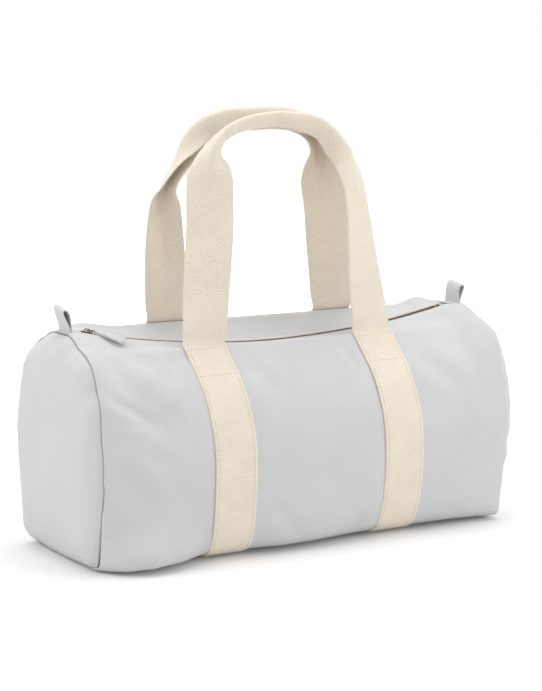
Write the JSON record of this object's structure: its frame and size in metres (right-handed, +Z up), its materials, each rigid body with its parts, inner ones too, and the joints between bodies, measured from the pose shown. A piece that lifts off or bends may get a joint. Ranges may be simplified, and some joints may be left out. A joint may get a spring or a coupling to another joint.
{
  "type": "barrel bag",
  "caption": "Canvas barrel bag with a top zip, two long folded webbing handles, webbing girth straps and end tabs.",
  "frame": {"origin": "centre of the bag's footprint, on the surface that it stands on", "axes": "+X along the zip towards its open end, +Y to the rear, +Z up"},
  "size_m": [0.5244, 0.2086, 0.4653],
  "materials": {
    "canvas": "light grey plain-weave cotton canvas",
    "end_canvas": "light grey plain-weave cotton canvas",
    "webbing": "heavy ecru cotton webbing with a ribbed weave",
    "thread": "ecru cotton sewing thread",
    "tape": "light grey woven zip tape",
    "bronze": "antique bronze finish, slightly worn"
  },
  "bodies": {
    "bag": {"barrel_panel": "canvas", "left_end_panel": "end_canvas", "right_end_panel": "end_canvas", "left_end_binding": "tape", "right_end_binding": "tape", "left_strap": "webbing", "right_strap": "webbing", "strap_stitches": "thread", "left_end_flap": "canvas", "right_end_flap": "canvas", "left_front_top": "canvas", "left_rear_top": "canvas", "right_front_top": "canvas", "right_rear_top": "canvas", "left_tab": "canvas", "right_tab": "canvas", "left_zip_tapes": "tape", "right_zip_tapes": "tape", "left_zip_teeth": "bronze", "right_zip_teeth": "bronze", "top_stops": "bronze", "bottom_stop": "bronze"},
    "front_lip": {"front_lip": "canvas", "front_tape": "tape", "front_teeth": "bronze"},
    "rear_lip": {"rear_lip": "canvas", "rear_tape": "tape", "rear_teeth": "bronze"},
    "slider": {"slider_body": "bronze"},
    "puller": {"puller_ring": "bronze", "puller_tab": "canvas"},
    "front_handle": {"front_left_leg": "webbing", "front_right_leg": "webbing"},
    "front_grip": {"front_grip": "webbing"},
    "rear_handle": {"rear_left_leg": "webbing", "rear_right_leg": "webbing"},
    "rear_grip": {"rear_grip": "webbing"}
  },
  "joints": [
    {"name": "front_handle_hinge", "type": "hinge", "parent": "bag", "child": "front_handle", "pos_m": [0, -0.0429, 0.22158], "axis": [1, 0, 0], "range_deg": [0, 135]},
    {"name": "front_grip_hinge", "type": "hinge", "parent": "front_handle", "child": "front_grip", "pos_m": [0, -0.03044, 0.34093], "axis": [1, 0, 0], "range_deg": [0, 48.01]},
    {"name": "rear_handle_hinge", "type": "hinge", "parent": "bag", "child": "rear_handle", "pos_m": [0, 0.04289, 0.23894], "axis": [-1, 0, 0], "range_deg": [0, 132]},
    {"name": "rear_grip_hinge", "type": "hinge", "parent": "rear_handle", "child": "rear_grip", "pos_m": [0, 0.0299, 0.35824], "axis": [-1, 0, 0], "range_deg": [0, 50.01]},
    {"name": "front_lip_hinge", "type": "hinge", "parent": "bag", "child": "front_lip", "pos_m": [0, -0.0408, 0.21907], "axis": [1, 0, 0], "range_deg": [0, 70]},
    {"name": "rear_lip_hinge", "type": "hinge", "parent": "bag", "child": "rear_lip", "pos_m": [0, 0.0408, 0.23643], "axis": [-1, 0, 0], "range_deg": [0, 88]},
    {"name": "slider_travel", "type": "hinge", "parent": "bag", "child": "slider", "pos_m": [0, 0, 1.29589], "axis": [0, -1, 0], "range_deg": [0, 23.34]},
    {"name": "puller_hinge", "type": "hinge", "parent": "slider", "child": "puller", "pos_m": [-0.22128, 0, 0.23943], "axis": [-0.6921, -0.7071, 0.145], "range_deg": [0, 120]}
  ],
  "couplings": [
    {"joint": "front_grip_hinge", "follows": "front_handle_hinge", "ratio": 0.35556},
    {"joint": "rear_grip_hinge", "follows": "rear_handle_hinge", "ratio": 0.37879}
  ]
}
